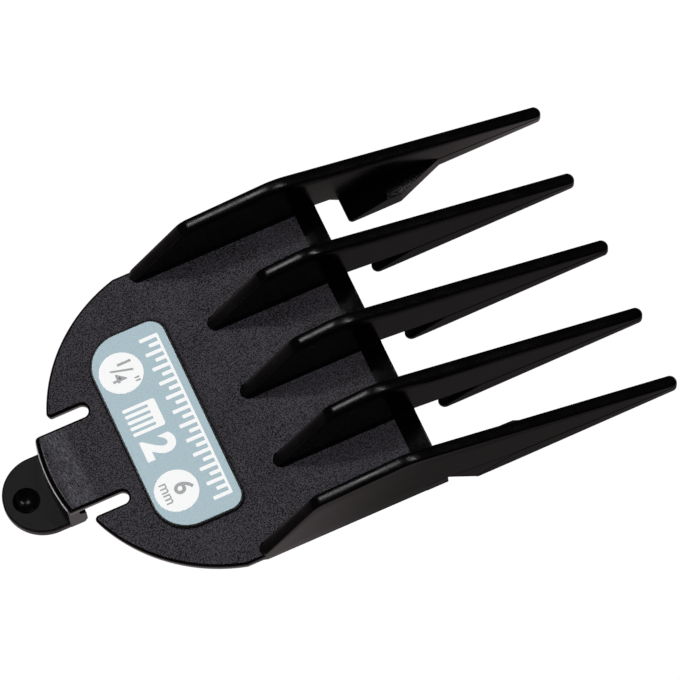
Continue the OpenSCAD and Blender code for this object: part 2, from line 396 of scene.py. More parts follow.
# Screen-printed ink: flat, with a faint unevenness
inkLook = {"white": ("#fbfcfc", "#ffffff"), "grey": ("#9c9da0", "#afb0b2"), "roughness": 0.5,
           "dot": 0.3, "ior": 1.5}


def screenInk(name, shade):
    low, high = inkLook[shade]
    material, tree, shader, place = startMaterial(name, low, inkLook["roughness"],
                                                  inkLook["ior"])
    dots = grainNoise(tree, place, inkLook["dot"], 2, 0.5)
    colour = mixColours(tree, spread(tree, dots, 0, 1), 0, low, high)
    tree.links.new(colour.outputs[2], shader.inputs["Base Color"])
    return material


plateGrain = sparkErodedAbs("sparkErodedAbs")
tongueGrain = sparkErodedAbs("wornSparkErodedAbs", worn=True)
satin = satinMouldedAbs("satinMouldedAbs")
# the label pad's rim: rougher and glossier, so that its edge catches a soft light line
frosted = satinMouldedAbs("frostedMouldedAbs", 0.22, 0.9)
polished = polishedAbs()
handled = streakedAbs("handledMouldedAbs", handledLook)
# a pale material that paints a highlight on the tongue's back edge
paintedHighlight = streakedAbs("paintedHighlightAbs", paintedHighlightLook)
film = printedFilm()
whiteInk = screenInk("whiteScreenInk", "white")
greyInk = screenInk("greyScreenInk", "grey")
print("materials made")


plateShape = {"topRound": 0.36, "lowRound": 0.22, "draft": 0.16, "flankRound": 0.6, "buttX": -22.9,
              "slotWidth": 1.75, "slotInnerX": -22.0, "backCentreX": -5.8, "backRadius": 22.925,
              "sideLap": 0.06, "sideLapX": -9.2, "lapStep": 0.6, "arcStop": 1.5}
plateHigh = nodeBox("base_plate")[1]
tongueLow, tongueHigh = nodeBox("spring_tongue")
halfWidth = plateHigh[1]
plateTop = plateHigh[2]
plateFront = plateHigh[0]
tongueHalf = tongueHigh[1]


# Outline of the plate: straight sides, a round back of radius backRadius, and two round-ended
# slots. The edge across the tongue's root is a plain butt joint.
def plateOutline():
    p = plateShape
    centreX, radius, innerX = p["backCentreX"], p["backRadius"], p["slotInnerX"]
    slotOuter = tongueHalf + p["slotWidth"]
    slotR = p["slotWidth"] / 2 - 0.001
    sideX = centreX - math.sqrt(radius ** 2 - halfWidth ** 2)
    flankX = centreX - math.sqrt(radius ** 2 - slotOuter ** 2)
    a = math.atan2(halfWidth, sideX - centreX)
    b = math.atan2(slotOuter, flankX - centreX)
    t = np.linspace(a, b - p["arcStop"] / radius, 60)  # stops short of the slot's rounded corner
    arc = np.stack([centreX + radius * np.cos(t), radius * np.sin(t), 0 * t], 1)
    side = halfWidth - p["sideLap"]
    upper = np.concatenate([
        [[plateFront, side, 0], [p["sideLapX"], side, 0],
         [p["sideLapX"] - p["lapStep"], halfWidth, 0]],
        arc,
        [[flankX, slotOuter, p["flankRound"]], [innerX, slotOuter, slotR],
         [innerX, tongueHalf, slotR], [p["buttX"], tongueHalf, 0]]])
    return roundedPath(np.concatenate([upper, upper[::-1] * [1, -1, 1]]))


def buildPlate():
    p = plateShape
    outline = plateOutline()
    way = mitreNormals(outline)
    atButt = np.abs(outline[:, 0] - p["buttX"]) < 1e-6
    atButt &= np.abs(np.abs(outline[:, 1]) - tongueHalf) < 1e-3
    way[atButt] = np.stack([np.zeros(atButt.sum()), -np.sign(outline[atButt, 1])], 1)
    way[outline[:, 0] > p["sideLapX"] - p["lapStep"] / 2] = 0
    way[atButt] *= -1
    rim = rimProfile(0, plateTop, p["topRound"], p["lowRound"], draft=p["draft"])
    piece = slabPiece("plate_shell", outline, rim, [plateGrain, satin], way)
    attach(piece, "comb")
    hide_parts("base_plate")


barShape = {"edge": 0.22, "lap": 0.01, "sideGap": 0.02}


# Crossbar: its rounded section carried straight along Y, just inside the outer ribs
def buildCrossbar():
    low, high = nodeBox("front_crossbar")
    r = barShape["edge"]
    backX = low[0] - barShape["lap"]
    section = roundedPath([[backX, low[2], 0], [high[0], low[2], r],
                           [high[0], high[2], r], [backX, high[2], 0]])
    y = np.linspace(low[1] + barShape["sideGap"], high[1] - barShape["sideGap"], 24)
    grid = np.empty((len(y), len(section), 3))
    grid[..., 0] = section[None, :, 0]
    grid[..., 1] = y[:, None]
    grid[..., 2] = section[None, :, 1]
    piece = loftPiece("crossbar", grid, [polished])
    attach(piece, "comb")
    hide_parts("front_crossbar")


toothShape = {"rearRise": 8.2, "peakRise": 9.1, "peakX": 11.5, "rampBend": 2.5, "peakBend": 9.0,
              "tipTop": -1.0, "topEdge": (0.8, 0.8), "topCrown": 0.18, "footFillet": 0.32,
              "upperInset": 0.05, "outerRound": 0.5, "outerLap": 0.03, "tipLean": 0.12,
              "lowEdge": 0.08, "hookNose": 0.42, "notchDrop": 0.1, "lugTaperX": 27.0,
              "lugCorner": 0.55, "lugInset": 0.2, "tipRound": 0.75, "upperTipDrop": 0.25,
              "lowerTipDrop": 0.3, "sideSteps": 4}
# Parting line: how far in front of the notch it bends, its heights there and at the tip, and the
# least that lies above it
partingShape = {"bendAfter": 7.2, "bendHeight": -0.5, "tipHeight": -1.35, "cover": 0.12}


# Top line of a tooth seen from the side: a ramp, a bend, a gently rising stretch, a wide bend at
# the peak and a straight run down to the tip
def toothTopLine(rearX, tipX):
    s = toothShape
    rear = plateTop + s["rearRise"]
    return roundedPath([[rearX, plateTop, 0], [rearX + s["rearRise"], rear, s["rampBend"]],
                        [s["peakX"], plateTop + s["peakRise"], s["peakBend"]],
                        [tipX, s["tipTop"], 0]], closed=False, degrees=3)


# Half width near a rounded end: the half chord of a circle of radius r at distance d from it
def noseWidth(d, r, full):
    d = np.clip(d, 0, r)
    return full * np.sqrt(np.maximum(1 - (1 - d / r) ** 2, 0))


# Stations along X, packed as a cosine towards both round ends
def toothStations(start, noseR, end, tipR, extra, count):
    t = np.linspace(0, math.pi / 2, 9)
    parts = [start + noseR * (1 - np.cos(t)), end - tipR * (1 - np.cos(t)), extra,
             np.linspace(start + noseR, end - tipR, count)]
    x = np.unique(np.round(np.concatenate(parts), 4))
    return x[(x >= start) & (x <= end)]


# One loop of a tooth's section for each station. Its points go up the +Y side, round the top
# edge and down the -Y side: (side times (half width plus flare), height). The top edges are
# quarter ellipses: highR across on the +Y and the -Y side, and crown high.
def toothSections(x, centre, plus, minus, high, lowR, highR, crown, flare, flareLow):
    n = len(x)
    t = np.linspace(0, 1, 7)[None]
    down = toothShape["sideSteps"]
    halves = []
    for half, foot, base, inner, wide in ((plus, flare[0], flareLow[0], lowR[0], highR[0]),
                                          (minus, flare[1], flareLow[1], lowR[1], highR[1])):
        half, foot, base, inner = (np.broadcast_to(np.asarray(v, float), n)[:, None]
                                   for v in (half, foot, base, inner))
        top = np.broadcast_to(np.asarray(high, float), n)[:, None]
        tall = np.maximum(top - base, 0)
        edge = np.minimum(wide, 0.9 * half)
        edgeDrop = np.minimum(crown, 0.45 * tall)
        footR = np.minimum(foot, 0.45 * tall)
        lowEdge = np.minimum(np.minimum(inner, 0.8 * half), 0.4 * tall)
        # concave foot: the flare dies out along a quarter circle
        footY = half + footR * (1 - np.sin(t * math.pi / 2))
        footZ = base + footR * (1 - np.cos(t * math.pi / 2))
        # convex lower edge where there is no foot
        edgeY = half - lowEdge * (1 - np.sin(t * math.pi / 2))
        edgeZ = base + lowEdge * (1 - np.cos(t * math.pi / 2))
        flared = footR > 1e-6
        startY = np.where(flared, footY, edgeY)
        startZ = np.where(flared, footZ, edgeZ)
        rise = np.linspace(0, 1, down + 2)[None, 1:-1]
        z0, z1 = startZ[:, -1:], top - edgeDrop
        sideY = np.broadcast_to(half, (n, down))
        sideZ = z0 + (z1 - z0) * rise
        topY = half - edge * (1 - np.cos(t * math.pi / 2))
        topZ = top - edgeDrop * (1 - np.sin(t * math.pi / 2))
        halves.append((np.concatenate([startY, sideY, topY], 1),
                       np.concatenate([startZ, sideZ, topZ], 1)))
    y = np.concatenate([halves[0][0], -halves[1][0][:, ::-1]], 1) + centre
    z = np.concatenate([halves[0][1], halves[1][1][:, ::-1]], 1)
    return np.stack([np.broadcast_to(x[:, None], y.shape), y, z], 2)


# Parting line between the two halves of the mould, on both sides of a tooth
def partingLine(x, barX, notchX, tipX, top):
    p = partingShape
    line = np.interp(x, [barX, notchX, notchX + p["bendAfter"], tipX],
                     [plateTop, -toothShape["notchDrop"], p["bendHeight"], p["tipHeight"]])
    return np.minimum(line, top - p["cover"])


# Fall of a rounded end of length tipRound: depth times one less the height of its quarter circle
def tipFall(x, tipX, depth):
    share = np.clip((x - (tipX - toothShape["tipRound"])) / toothShape["tipRound"], 0, 1)
    return depth * (1 - np.sqrt(np.maximum(1 - share ** 2, 0)))


def buildTooth(number):
    s = toothShape
    ribLow, ribHigh = nodeBox(f"rib_{number}")
    low, high = nodeBox(f"tooth_{number}")
    outer = number in (1, 5)
    side = 1 if number == 1 else -1
    hookNode = f"corner_lug_{number}" if outer else f"blade_hook_{number}"
    hookLow, hookHigh = nodeBox(hookNode)
    notchX = nodeBox(f"outer_gusset_{5 if number == 5 else 1}")[1][0]
    centre = (low[1] + high[1]) / 2
    half = (high[1] - low[1]) / 2
    rearX, barX, tipX, hookX = ribLow[0], ribHigh[0], high[0], hookLow[0]
    bottom = low[2]
    line = toothTopLine(rearX, tipX)

    # upper half: from the back of the rib to the tip, down to the plate or the parting line
    extra = np.concatenate([line[:, 0], [barX - 0.01, barX, notchX, plateFront]])
    x = toothStations(rearX, half, tipX, s["tipRound"], extra, 60)
    top = np.interp(x, line[:, 0], line[:, 1]) - tipFall(x, tipX, s["upperTipDrop"])
    parting = partingLine(x, barX, notchX, tipX, top)
    onPlate = x < barX - 0.005
    inset = half - s["upperInset"]
    width = noseWidth(x - rearX, half, inset)
    width = np.minimum(width, noseWidth(tipX - x, s["tipRound"], inset))
    base = np.where(onPlate, plateTop, parting)
    foot = np.where(onPlate, s["footFillet"], 0) * np.clip(width / inset, 0, 1)
    outerWidth = noseWidth(x - rearX, half, half)
    outerWidth = np.minimum(outerWidth, noseWidth(tipX - x, s["tipRound"], inset))
    flushWidth = np.where(x < barX, outerWidth, np.minimum(outerWidth, half))
    flushBase = np.where(onPlate, s["outerLap"], parting)
    widths, feet, bases = [width, width], [foot, foot], [base, base]
    lowR = [np.zeros_like(x), np.zeros_like(x)]
    if outer:
        i = 0 if side > 0 else 1
        widths[i], feet[i], bases[i] = flushWidth, np.zeros_like(x), flushBase
        lowR[i] = np.where(onPlate, s["outerRound"], 0)
    upper = toothSections(x, centre, widths[0], widths[1], top, lowR, s["topEdge"],
                          s["topCrown"], feet, bases)

    # lower half: from the hook's nose to the tip, up to the hook's top or the parting line
    nose = s["lugCorner"] if outer else half
    extra = np.array([notchX, notchX + 0.01, s["lugTaperX"], hookHigh[0]])
    x = toothStations(hookX, nose, tipX, s["tipRound"], extra, 40)
    topLine = np.interp(x, line[:, 0], line[:, 1]) - tipFall(x, tipX, s["upperTipDrop"])
    parting = partingLine(x, barX, notchX, tipX, topLine)
    wedge = np.interp(x, [hookX, notchX], [bottom + s["hookNose"], -s["notchDrop"]])
    top = np.where(x <= notchX, wedge, parting)
    toTip = np.clip((x - notchX) / (tipX - notchX), 0, 1)
    reach = np.minimum(noseWidth(x - hookX, nose, half), noseWidth(tipX - x, s["tipRound"], half))
    widths = [reach, reach]
    if outer:
        lug = abs((hookLow if side > 0 else hookHigh)[1] - centre)
        taper = np.interp(x, [s["lugTaperX"], hookHigh[0]], [lug, half])
        back = np.clip((x - hookX) / nose, 0, 1)
        corner = nose * (1 - np.sqrt(np.maximum(1 - (1 - back) ** 2, 0)))
        i = 1 if side > 0 else 0
        widths[i] = np.where(x < hookHigh[0], taper - corner, reach)
        widths[1 - i] = np.where(x < hookHigh[0], half - np.minimum(corner, s["lugInset"]), reach)
    drop = tipFall(x, tipX, s["lowerTipDrop"])
    lower = toothSections(x, centre, widths[0], widths[1], top,
                          [np.full_like(x, s["lowEdge"])] * 2, (0.05, 0.05), 0.05,
                          [np.zeros_like(x)] * 2, [bottom + drop] * 2)
    # the sides of the lower half lean in towards its bottom, from none at the notch to tipLean
    tall = np.maximum(top - bottom, 0.05)[:, None]
    depth = np.clip((top[:, None] - lower[..., 2]) / tall, 0, 1)
    lean = (s["tipLean"] * toTip)[:, None] * depth
    offset = lower[..., 1] - centre
    lower[..., 1] = centre + np.sign(offset) * np.maximum(np.abs(offset) - lean, 0.02)

    piece = joinGrids(f"tooth_blade_{number}", [upper, lower], [satin])
    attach(piece, "comb")
    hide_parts(f"rib_{number}", f"tooth_{number}", hookNode)
    if outer:
        buildGusset(number, barX, notchX, hookX, bottom)


gussetShape = {"lap": 0.02, "inset": 0.03, "lowEdge": 0.08, "topEdge": 0.02, "thinnest": 0.01}


# Gusset: a thin wall from the tooth's parting line down to the lug's top slope
def buildGusset(number, barX, notchX, hookX, bottom):
    s, g = toothShape, gussetShape
    low, high = nodeBox(f"outer_gusset_{number}")
    noseZ = bottom + s["hookNose"]
    x = np.unique(np.r_[np.linspace(barX, notchX, 28), hookX])
    top = np.interp(x, [barX, notchX], [plateTop + g["lap"], -s["notchDrop"] + g["lap"]])
    base = np.interp(x, [barX, hookX, notchX], [plateTop, noseZ, -s["notchDrop"] - g["lap"]])
    base = np.minimum(base, top - g["thinnest"])
    centre, half = (low[1] + high[1]) / 2, (high[1] - low[1]) / 2 - g["inset"]
    grid = toothSections(x, centre, half, half, top, [g["lowEdge"]] * 2, [g["topEdge"]] * 2,
                         g["topEdge"], [0, 0], [base, base])
    piece = loftPiece(f"gusset_{number}", grid, [satin])
    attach(piece, "comb")
    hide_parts(f"outer_gusset_{number}")


tongueShape = {"endRadius": 24.4, "rearRound": 0.8, "rearFall": 0.8, "cornerRound": 0.5,
               "cornerDraw": 0.3, "cornerFrom": 0.8, "thinnest": 0.3, "paintedHighlightRows": 4,
               "blendEnd": -26.6}


# Back edge of the tongue: an arc across the comb
def tongueEndX(y):
    r = tongueShape["endRadius"]
    return tongueLow[0] + r - np.sqrt(r ** 2 - np.asarray(y) ** 2)


# Tongue: the plate's rounded section carried back to the curved edge, where the top rolls down
# as a quarter round and the corners draw in
def buildTongue():
    p, t = plateShape, tongueShape
    rim = rimProfile(0, plateTop, p["topRound"], p["lowRound"], draft=p["draft"])
    across = np.linspace(-1, 1, 25)[1:-1]
    flatHalf = tongueHalf - rim[0, 0]
    topY = across * flatHalf
    lowHalf = tongueHalf - rim[-1, 0]
    sideY = tongueHalf - rim[:, 0]
    y = np.concatenate([topY, sideY, across[::-1] * lowHalf, -sideY[::-1]])
    z = np.concatenate([np.full(len(topY), plateTop), rim[:, 1], np.zeros(len(topY)), rim[::-1, 1]])
    rearEnd = 1 - 0.1 * (1 - np.sin(np.linspace(0, math.pi / 2, 12)))
    stations = np.concatenate([np.linspace(0, 0.88, 38), rearEnd])
    front = p["buttX"]
    endX = tongueEndX(np.clip(y, -tongueHalf, tongueHalf))
    x = front + stations[:, None] * (endX - front)[None]
    toEnd = x - endX[None]
    r = t["rearRound"]
    roll = np.clip(1 - toEnd / r, 0, 1)
    fall = r * (1 - np.sqrt(np.maximum(1 - roll ** 2, 0))) * t["rearFall"]
    height = np.where(z[None] > plateTop / 2, np.maximum(z[None] - fall, t["thinnest"] * z[None]),
                      z[None])
    corner = np.clip(1 - toEnd / t["cornerRound"], 0, 1)
    draw = t["cornerDraw"] * (1 - np.sqrt(np.maximum(1 - corner ** 2, 0)))
    edgeFrom = t["cornerFrom"] * tongueHalf
    edge = np.clip((np.abs(y) - edgeFrom) / (tongueHalf - edgeFrom), 0, 1)[None]
    wide = y[None] - np.sign(y)[None] * draw * edge
    grid = np.stack([x, np.broadcast_to(wide, x.shape), height], 2)
    # the top is grained, its rolled back edge, sides and underside are smooth, and the foot of
    # the roll carries a painted highlight
    onTop = np.r_[np.arange(len(topY)), -1]
    finish = np.ones((len(x) - 1, len(y)), int)
    finish[:len(stations) - len(rearEnd), onTop] = 0
    finish[-t["paintedHighlightRows"]:, onTop] = 2
    piece = loftPiece("tongue", grid, [tongueGrain, satin, paintedHighlight], np.r_[finish.ravel(), 1, 2])
    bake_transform(piece)
    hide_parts("spring_tongue")


catchShape = {"frontX": -28.5, "heelZ": -1.2, "frontSlope": 0.7, "noseRound": 0.18,
              "footIn": 0.45, "backRound": 0.25, "heelRound": 0.12, "lap": 0.25}


# Catch wall: its side outline carried along Y; the back follows the tongue's curved edge
def buildCatch():
    c = catchShape
    low, high = nodeBox("tongue_catch")
    wallFront, catchX = c["frontX"], high[0]
    heelZ = c["heelZ"]
    backX = tongueLow[0]
    bottom = low[2]
    outline = roundedPath([
        [backX, c["lap"], 0], [backX, bottom, c["backRound"]],
        [wallFront + c["footIn"], bottom, c["noseRound"]],
        [catchX, bottom + c["frontSlope"], c["noseRound"]],
        [catchX, heelZ - c["frontSlope"] / 2, c["noseRound"]],
        [wallFront, heelZ, c["heelRound"]],
        [wallFront, c["lap"], 0]])
    half = high[1]
    y = half * np.sin(np.linspace(-1, 1, 33) * math.pi / 2)
    share = (wallFront - outline[:, 0]) / (wallFront - backX)
    pull = np.clip(share, 0, 1)[None] * (tongueEndX(y) - backX)[:, None]
    grid = np.empty((len(y), len(outline), 3))
    grid[..., 0] = outline[None, :, 0] + pull
    grid[..., 1] = y[:, None]
    grid[..., 2] = outline[None, :, 1]
    piece = loftPiece("catch_wall", grid, [satin])
    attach(piece, "latch")
    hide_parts("tongue_catch")


tabShape = {"dimpleWidth": 3.6, "dimpleDepth": 0.7, "dimpleIn": 3.02, "topRound": 0.25,
            "lowRound": 0.15, "hubShare": 0.02, "lipWidth": 0.1, "lap": 0.04}


# Thumb tab: rings that grow from the middle of the dimple to the tab's outline. Inside the
# dimple the height is that of a sphere's cap, then flat, then the rounded rim.
def buildTab():
    s = tabShape
    low, high = nodeBox("thumb_tab")
    radius = high[1]
    top, bottom = high[2], low[2]
    roundX = low[0] + radius
    faceY = np.linspace(-radius, radius, 30)
    faceX = tongueEndX(faceY) + s["lap"]
    rim = rimProfile(bottom, top, s["topRound"], s["lowRound"])
    turn = np.linspace(math.pi / 2, 3 * math.pi / 2, 72)
    arc = np.stack([roundX + radius * np.cos(turn), radius * np.sin(turn)], 1)
    flankX = np.linspace(roundX, faceX[0], 6)[1:-1]
    outline = np.concatenate([arc, np.stack([flankX, 0 * flankX - radius], 1),
                              np.stack([faceX, faceY], 1),
                              np.stack([flankX[::-1], 0 * flankX + radius], 1)])
    way = mitreNormals(outline)
    # the front follows the tongue's back edge and is not rounded
    front = slice(len(arc) + len(flankX), len(arc) + len(flankX) + len(faceY))
    way[front] = 0
    way[front][[0, -1], 1] = [-1, 1]
    hub = np.array([low[0] + s["dimpleIn"], 0.0])
    angle = np.arctan2(outline[:, 1], outline[:, 0] - hub[0])
    ray = np.stack([np.cos(angle), np.sin(angle)], 1)
    half = s["dimpleWidth"] / 2
    capR = (half ** 2 + s["dimpleDepth"] ** 2) / (2 * s["dimpleDepth"])
    rho = np.linspace(s["hubShare"], 1, 18) * half
    cap = hub + rho[:, None, None] * ray
    lip = hub + (half + s["lipWidth"]) * ray
    inside = outline - rim[0, 0] * way
    flat = lip + (inside - lip) * np.linspace(0, 1, 7)[:-1, None, None]
    edge = outline - rim[:, :1, None] * way
    rings = np.concatenate([cap, flat, edge])
    height = np.r_[top - s["dimpleDepth"] + capR - np.sqrt(capR ** 2 - rho ** 2),
                   np.full(len(flat), top), rim[:, 1]]
    height = np.broadcast_to(height[:, None, None], rings.shape[:2] + (1,))
    grid = np.concatenate([rings, height], 2)
    inDimple = np.zeros((len(grid) - 1, len(ray)), int)
    inDimple[:len(cap) - 1] = 1
    piece = loftPiece("thumb_pad", grid, [handled, satin], np.r_[inDimple.ravel(), 1, 0], 30)
    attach(piece, "latch")
    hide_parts("thumb_tab")


labelShape = {"backRound": 4.6, "frontRound": 2.0, "padEdge": 0.22, "padSink": 0.02,
              "filmEdge": 0.04, "filmSink": 0.01, "inkLift": 0.012, "inkSink": 0.004,
              "discInk": 0.03, "discEdge": 0.01}


# Outline of a label shape from its box, with rounder corners at the back
def labelOutline(low, high, border):
    back, front = labelShape["backRound"] + border, labelShape["frontRound"] + border
    return roundedPath([[low[0], low[1], back], [high[0], low[1], front],
                        [high[0], high[1], front], [low[0], high[1], back]], degrees=4)


def buildLabel():
    s = labelShape
    padLow, padHigh = nodeBox("label_pad")
    low, high = nodeBox("size_label")
    border = low[0] - padLow[0]
    pad = slabPiece("label_base", labelOutline(padLow, padHigh, border),
                    rimProfile(padLow[2] - s["padSink"], padHigh[2], s["padEdge"], s["padSink"]),
                    [satin, frosted])
    skin = slabPiece("label_film", labelOutline(low, high, 0),
                     rimProfile(low[2] - s["filmSink"], high[2], s["filmEdge"], s["filmSink"], 3),
                     [film])
    for piece, node, slotName in ((pad, "label_pad", "moulded_plastic"),
                                  (skin, "size_label", "label_film")):
        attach(piece, "comb")
        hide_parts(node)
    for node in ("upper_disc", "lower_disc"):
        dLow, dHigh = nodeBox(node)
        r = (dHigh[0] - dLow[0]) / 2
        t = np.linspace(0, 2 * math.pi, 72, endpoint=False)
        ring = ((dLow + dHigh) / 2)[:2] + r * np.stack([np.cos(t), np.sin(t)], 1)
        disc = slabPiece(f"{node}_print", ring,
                         rimProfile(dLow[2], dLow[2] + s["discInk"], s["discEdge"],
                                    s["discEdge"], 2), [whiteInk])
        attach(disc, "comb")
        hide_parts(node)


# Flat printed mark as a thin slab of ink on a surface at height z
def inkSlab(outline, z, thick):
    count = len(outline)
    return np.array([np.c_[outline, np.full(count, z + thick)],
                     np.c_[outline, np.full(count, z - labelShape["inkSink"])]])


# Generic print: a ruler of ticks, a five-toothed comb sign, a size number and two measures
printShape = {"spineX": -9.75, "spineWidth": 0.34, "firstY": 12.1, "lastY": -12.1, "ticks": 23,
              "tickLong": 2.45, "tickShort": 1.55, "tickWidth": 0.52,
              "signX": -16.0, "signY": 2.1, "signWidth": 4.1, "signHeight": 4.5, "signTooth": 0.5,
              "signSpine": 1.15, "signSpineRound": 0.35, "signToothEnd": 0.6,
              "signToothRound": 0.2, "signTeeth": 5, "overLift": 0.001}


# Bar with rounded corners, from its ends along X and Y
def bar(x0, x1, y0, y1, r=0.12):
    return roundedPath([[x0, y0, r], [x1, y0, r], [x1, y1, r], [x0, y1, r]], degrees=30)


def buildPrint():
    p = printShape
    top = nodeBox("size_label")[1][2]
    lift = labelShape["inkLift"]
    past = p["tickWidth"] / 2
    spine = bar(p["spineX"] - p["spineWidth"], p["spineX"], p["lastY"] - past, p["firstY"] + past)
    grids = [inkSlab(spine, top, lift)]
    for i, y in enumerate(np.linspace(p["firstY"], p["lastY"], p["ticks"])):
        length = p["tickLong"] if i % 2 == 0 else p["tickShort"]
        root = p["spineX"] - p["spineWidth"] / 2
        tick = bar(root - length, root, y - past, y + past)
        grids.append(inkSlab(tick, top, lift + p["overLift"]))
    # comb sign: a spine with five teeth below it
    x, y, w, h = p["signX"], p["signY"], p["signWidth"], p["signHeight"]
    back = bar(x + h / 2 - p["signSpine"], x + h / 2, y - w / 2, y + w / 2, p["signSpineRound"])
    grids.append(inkSlab(back, top, lift))
    for offset in np.linspace(-0.5, 0.5, p["signTeeth"]) * (w - p["signTooth"]):
        tooth = bar(x - h / 2, x + h / 2 - p["signToothEnd"], y + offset - p["signTooth"] / 2,
                    y + offset + p["signTooth"] / 2, p["signToothRound"])
        grids.append(inkSlab(tooth, top, lift + p["overLift"]))
    piece = joinGrids("label_marks", grids, [whiteInk])
    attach(piece, "comb")


# Letters and numbers as a thin mesh: read along -Y, with their tops to +X
def printText(name, body, size, x, y, z, material, bold):
    curve = bpy.data.curves.new(name, "FONT")
    curve.body = body
    curve.size = size * mm
    curve.align_x = "CENTER"
    curve.align_y = "CENTER"
    curve.offset = bold * mm
    curve.extrude = labelShape["inkLift"] / 2 * mm
    source = bpy.data.objects.new(name + "_curve", curve)
    bpy.context.scene.collection.objects.link(source)
    depsgraph = bpy.context.evaluated_depsgraph_get()
    mesh = bpy.data.meshes.new_from_object(source.evaluated_get(depsgraph))
    bpy.data.objects.remove(source)
    turned = Matrix.Rotation(math.radians(-90), 4, "Z")
    mesh.transform(Matrix.Translation((x * mm, y * mm, z * mm)) @ turned)
    mesh.materials.clear()
    mesh.materials.append(material)
    piece = bpy.data.objects.new(name, mesh)
    bpy.context.scene.collection.objects.link(piece)
    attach(piece, "comb")
    return piece


# Prints on the label: text, size, distance to +X and +Y of its disc's middle, weight
numberPrint = {"body": "2", "size": 5.8, "x": -16.0, "y": -2.45, "bold": 0.26}
lowerPrints = {"measure_number": ("6", 3.5, 0.85, 0.1, 0.06),
               "measure_unit": ("mm", 2.05, -1.3, 0.1, 0.02)}
upperPrints = {"fraction_top": ("1", 2.6, 0.75, 1.2, 0.05),
               "fraction_bar": ("/", 4.2, 0.0, 0.3, 0.0),
               "fraction_low": ("4", 2.6, -0.65, -0.6, 0.05),
               "inch_mark": ("\"", 2.6, 0.85, -1.6, 0.01)}


def buildMeasures():
    n = numberPrint
    lift = labelShape["inkLift"] / 2
    top = nodeBox("size_label")[1][2] + lift
    printText("size_number", n["body"], n["size"], n["x"], n["y"], top, whiteInk, n["bold"])
    for node, prints in (("lower_disc", lowerPrints), ("upper_disc", upperPrints)):
        low, high = nodeBox(node)
        middle = (low + high) / 2
        ink = low[2] + labelShape["discInk"] + lift
        for name, (body, size, x, y, bold) in prints.items():
            printText(name, body, size, middle[0] + x, middle[1] + y, ink, greyInk, bold)


# Small nicks that the mould left on the plate, each a thin dark lens: its middle, its length and
# the degrees it is turned by
nickShape = {"width": 0.14, "lift": 0.004,
             "marks": [(-7.4, 8.9, 0.75, 25), (-3.9, 7.8, 0.7, 20), (-3.75, 7.55, 0.5, 110),
                       (-3.7, 5.4, 0.6, 22), (-6.2, -9.9, 0.3, 40)]}


def buildNicks():
    grids = []
    t = np.linspace(0, 2 * math.pi, 14, endpoint=False)
    for x, y, length, turn in nickShape["marks"]:
        a = math.radians(turn)
        u, v = length / 2 * np.cos(t), nickShape["width"] / 2 * np.sin(t)
        ring = np.stack([x + u * math.cos(a) - v * math.sin(a),
                         y + u * math.sin(a) + v * math.cos(a)], 1)
        grids.append(inkSlab(ring, plateTop, nickShape["lift"]))
    piece = joinGrids("mould_nicks", grids, [polished])
    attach(piece, "comb")


buildPlate()
buildCrossbar()
print("plate and crossbar built")
for number in range(1, 6):
    buildTooth(number)
print("teeth built")
buildTongue()
buildCatch()
buildTab()
print("tongue, catch and tab built")
buildLabel()
buildPrint()
buildMeasures()
buildNicks()
print("label built")


# shadeMiddle, shadeReach, shadeRange, shadeGlow and openGlow set the floor's painted shadow
studio = {"floorSize": 6.0, "floorGap": 0.2, "floorWhite": 1.02, "shadeMiddle": (26.0, -8.0),
          "shadeReach": (42.0, 36.0), "shadeRange": (0.55, 1.15), "shadeGlow": 0.13,
          "openGlow": 0.74, "mirrored": "#fff0f2", "skyHorizon": 0.06, "skyTop": 0.015,
          "skyFade": 0.4}


